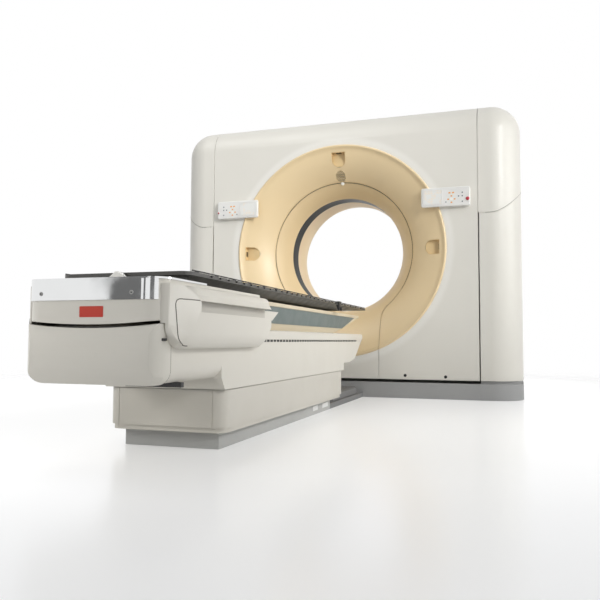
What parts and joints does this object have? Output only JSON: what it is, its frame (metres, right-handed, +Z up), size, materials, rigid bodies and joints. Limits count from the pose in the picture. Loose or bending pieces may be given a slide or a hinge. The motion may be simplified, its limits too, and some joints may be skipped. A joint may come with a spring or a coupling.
{
  "type": "ct scanner",
  "caption": "Large-bore CT scanner: tilting ring-shaped gantry between side towers, with a rising patient table whose top slides into the bore.",
  "frame": {"origin": "on the floor, at the foot of the upright line through the isocentre (where the scan plane meets the bore axis)", "axes": "+Y runs along the bore axis from the patient table into the gantry, +Z is up, +X is to the right for someone who stands at the table and looks at the gantry"},
  "size_m": [2.5, 3.818, 2.02],
  "materials": {
    "band_chrome": "polished",
    "base_cream": "satin paint",
    "beam_tan": "satin paint",
    "bearing_steel": "ground",
    "belt_rubber": "matte",
    "body_cream": "satin moulded cover",
    "clamp_grey": "moulded",
    "column_steel": "satin paint",
    "cover_cream": "satin moulded cover",
    "dish_tan": "satin moulded cover",
    "display_glass": "pale lit glass",
    "drum_alloy": "machined",
    "duct_grey": "ribbed mat finish",
    "flank_cream": "satin moulded cover",
    "frame_paint": "satin structural paint",
    "housing_white": "satin paint",
    "inlay_teal": "satin paint",
    "insulator": "matte",
    "latch_white": "moulded",
    "lens_dark": "dark acrylic",
    "motor_dark": "satin paint",
    "panel_white": "satin",
    "plinth_grey": "satin paint",
    "pocket_tan": "moulded cup",
    "ring_brass": "polished tracks",
    "skirt_cream": "satin paint",
    "top_board": "coated board",
    "tube_bronze": "satin paint",
    "window_dark": "thin dark film"
  },
  "bodies": {
    "base": {"base_frame": "frame_paint", "plinth_panels": "plinth_grey", "plinth_left": "plinth_grey", "plinth_right": "plinth_grey", "tower_post_left": "frame_paint", "tower_post_right": "frame_paint", "tower_cover_left": "cover_cream", "tower_cover_right": "cover_cream", "tilt_bearings": "bearing_steel", "tilt_gearbox": "motor_dark", "table_base_plate": "column_steel", "table_plinth": "plinth_grey", "base_cover": "base_cream", "floor_duct": "duct_grey"},
    "gantry": {"tilt_frame": "frame_paint", "front_cover": "cover_cream", "lower_front_panel": "cover_cream", "rear_cover": "cover_cream", "side_cap_left": "cover_cream", "side_cap_right": "cover_cream", "front_dish": "dish_tan", "front_funnel": "dish_tan", "scan_window": "window_dark", "rear_funnel": "dish_tan", "control_panel_left": "panel_white", "control_panel_right": "panel_white", "panel_displays": "display_glass", "laser_pockets": "pocket_tan", "laser_windows": "lens_dark", "speaker_grille": "pocket_tan", "bearing_outer_race": "bearing_steel", "drive_motor": "motor_dark", "drive_belt": "belt_rubber", "brush_block": "insulator"},
    "rotor": {"rotor_drum": "drum_alloy", "bearing_inner_race": "bearing_steel", "x_ray_tube": "tube_bronze", "collimator": "housing_white", "detector_arc": "drum_alloy", "high_voltage_generator": "housing_white", "tube_cooler": "drum_alloy", "slip_ring": "ring_brass"},
    "pulley": {"motor_pulley": "drum_alloy"},
    "lift_lower": {"skirt_lower": "skirt_cream", "column_lower": "column_steel"},
    "lift_upper": {"skirt_upper": "skirt_cream", "column_upper": "column_steel"},
    "table_body": {"body_cover": "body_cream", "foot_cover": "body_cream", "body_chassis": "column_steel", "support_beam": "beam_tan", "beam_side_panels": "inlay_teal", "carriage_cover": "body_cream", "side_cover_left": "flank_cream", "side_cover_right": "flank_cream", "steel_band": "band_chrome"},
    "slider": {"tabletop": "top_board", "tabletop_latch": "latch_white", "head_clamp": "clamp_grey"},
    "lever": {"clamp_lever": "clamp_grey"}
  },
  "joints": [
    {"name": "gantry_tilt", "type": "hinge", "parent": "base", "child": "gantry", "pos_m": [0, 0, 1.033], "axis": [1, 0, 0], "range_deg": [-15, 30]},
    {"name": "rotor_spin", "type": "hinge", "parent": "gantry", "child": "rotor", "pos_m": [0, 0, 1.033], "axis": [0, 1, 0], "continuous": true},
    {"name": "pulley_spin", "type": "hinge", "parent": "gantry", "child": "pulley", "pos_m": [0.70004, 0.05, 0.33296], "axis": [0, 1, 0], "continuous": true},
    {"name": "table_lift", "type": "slide", "parent": "base", "child": "table_body", "axis": [0, 0, 1], "range_m": [0, 0.425]},
    {"name": "lower_stage_lift", "type": "slide", "parent": "base", "child": "lift_lower", "axis": [0, 0, 1], "range_m": [0, 0.119]},
    {"name": "upper_stage_lift", "type": "slide", "parent": "base", "child": "lift_upper", "axis": [0, 0, 1], "range_m": [0, 0.2635]},
    {"name": "tabletop_slide", "type": "slide", "parent": "table_body", "child": "slider", "axis": [0, 1, 0], "range_m": [0, 1.4]},
    {"name": "clamp_lever_turn", "type": "hinge", "parent": "slider", "child": "lever", "pos_m": [0.255, -1.215, 0.5695], "axis": [1, 0, 0], "range_deg": [0, 90]}
  ],
  "couplings": [
    {"joint": "pulley_spin", "follows": "rotor_spin", "ratio": 14.333},
    {"joint": "lower_stage_lift", "follows": "table_lift", "ratio": 0.28},
    {"joint": "upper_stage_lift", "follows": "table_lift", "ratio": 0.62},
    {"joint": "tabletop_slide", "follows": "table_lift", "ratio": 3.2941}
  ]
}
